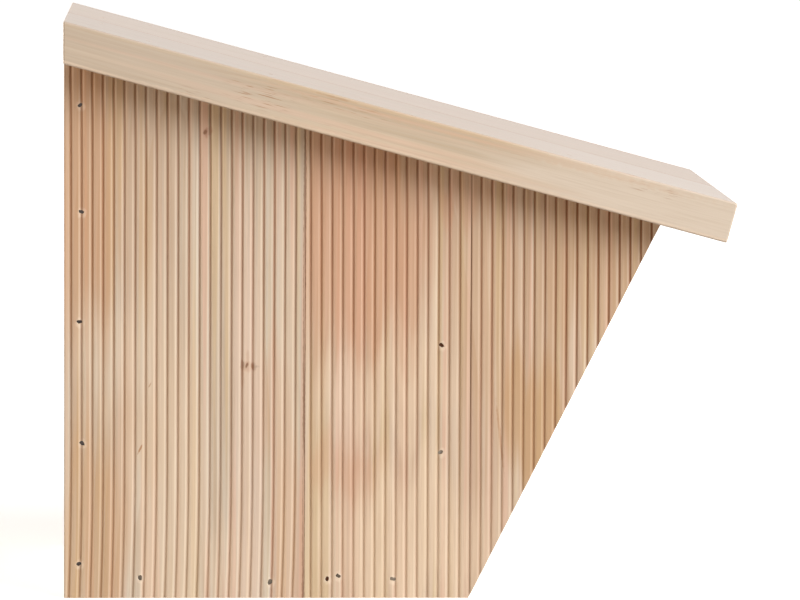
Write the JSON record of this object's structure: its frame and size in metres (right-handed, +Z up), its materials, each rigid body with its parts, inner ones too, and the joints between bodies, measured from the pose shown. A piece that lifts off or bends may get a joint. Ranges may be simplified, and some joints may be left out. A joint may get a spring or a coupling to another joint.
{
  "type": "bird nest box",
  "caption": "Open-fronted wooden bird nest box: fluted side walls with raked cheeks, a low front board and a sloped overhanging roof; it hangs by its back or stands on its floor.",
  "frame": {"origin": "under the middle of the whole box, roof included, on the plane that the box stands on", "axes": "+X out of the open front, -X into the wall that it hangs on, +Y to the box's own left, +Z up"},
  "size_m": [0.294, 0.196, 0.2551],
  "materials": {
    "fluted_pine": "machined flutes, raw, untreated pine with upright grain",
    "roof_pine": "planed, raw, untreated pine with grain along the slope",
    "plain_pine": "planed, raw, untreated pine",
    "brad_steel": "bright steel dulled by driving, heads below the surface"
  },
  "bodies": {
    "root": {"back_board": "plain_pine", "floor_board": "plain_pine", "front_board": "fluted_pine", "right_side_rear_board": "fluted_pine", "right_side_front_board": "fluted_pine", "left_side_rear_board": "fluted_pine", "left_side_front_board": "fluted_pine", "roof_right_board": "roof_pine", "roof_left_board": "roof_pine", "right_back_brads": "brad_steel", "right_floor_brads": "brad_steel", "right_front_brads": "brad_steel", "left_back_brads": "brad_steel", "left_floor_brads": "brad_steel", "left_front_brads": "brad_steel", "roof_right_brads": "brad_steel", "roof_left_brads": "brad_steel", "roof_back_brads": "brad_steel", "back_floor_brads": "brad_steel", "floor_front_brads": "brad_steel"}
  },
  "joints": []
}
